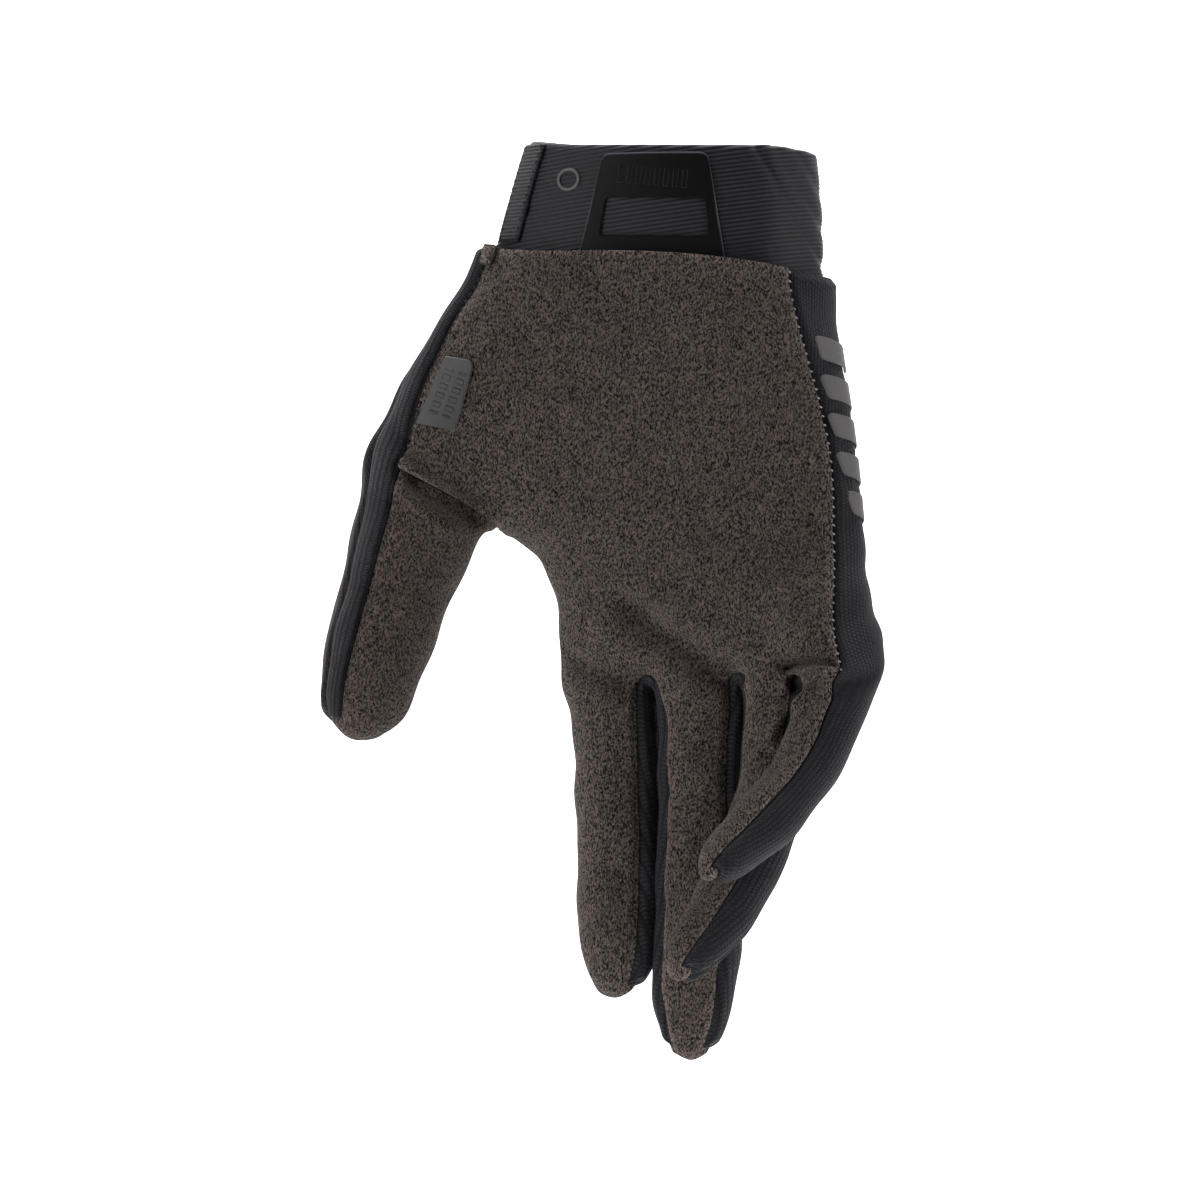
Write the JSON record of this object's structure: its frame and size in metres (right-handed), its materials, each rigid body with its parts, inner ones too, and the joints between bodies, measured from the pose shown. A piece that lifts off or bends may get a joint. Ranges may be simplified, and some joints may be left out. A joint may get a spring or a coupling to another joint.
{
  "type": "mountain bike glove",
  "caption": "Full-finger right-hand riding glove in its worn form, with a suede palm, knit back, slotted finger gussets, ribbed elastic cuff and a windowed pull tab.",
  "frame": {"origin": "middle of the wrist opening at the cuff's top edge, where the glove is held up", "axes": "+Z out of the wrist opening, fingers towards -Z; -Y the way the palm faces; +X from the thumb's side to the little finger's side"},
  "size_m": [0.1274, 0.0743, 0.2094],
  "materials": {
    "suede": "brushed taupe microsuede",
    "knit": "grey knit",
    "brown_knit": "dark brown knit",
    "mesh": "black slotted knit",
    "cuff": "ribbed black elastic",
    "patch": "satin black film",
    "rubber": "charcoal rubber"
  },
  "bodies": {
    "root": {"palm_panel": "suede", "thumb_front": "suede", "side_strip": "knit", "thumb_back": "brown_knit", "back_panel": "knit", "gusset_index_middle": "mesh", "gusset_middle_ring": "mesh", "gusset_ring_little": "mesh", "cuff_band": "cuff", "cuff_hem": "cuff", "pull_tab": "patch", "ring_mark": "rubber", "grip_label": "rubber", "side_bar_1": "rubber", "side_bar_2": "rubber", "side_bar_3": "rubber", "side_bar_4": "rubber", "side_bar_5": "rubber"}
  },
  "joints": []
}
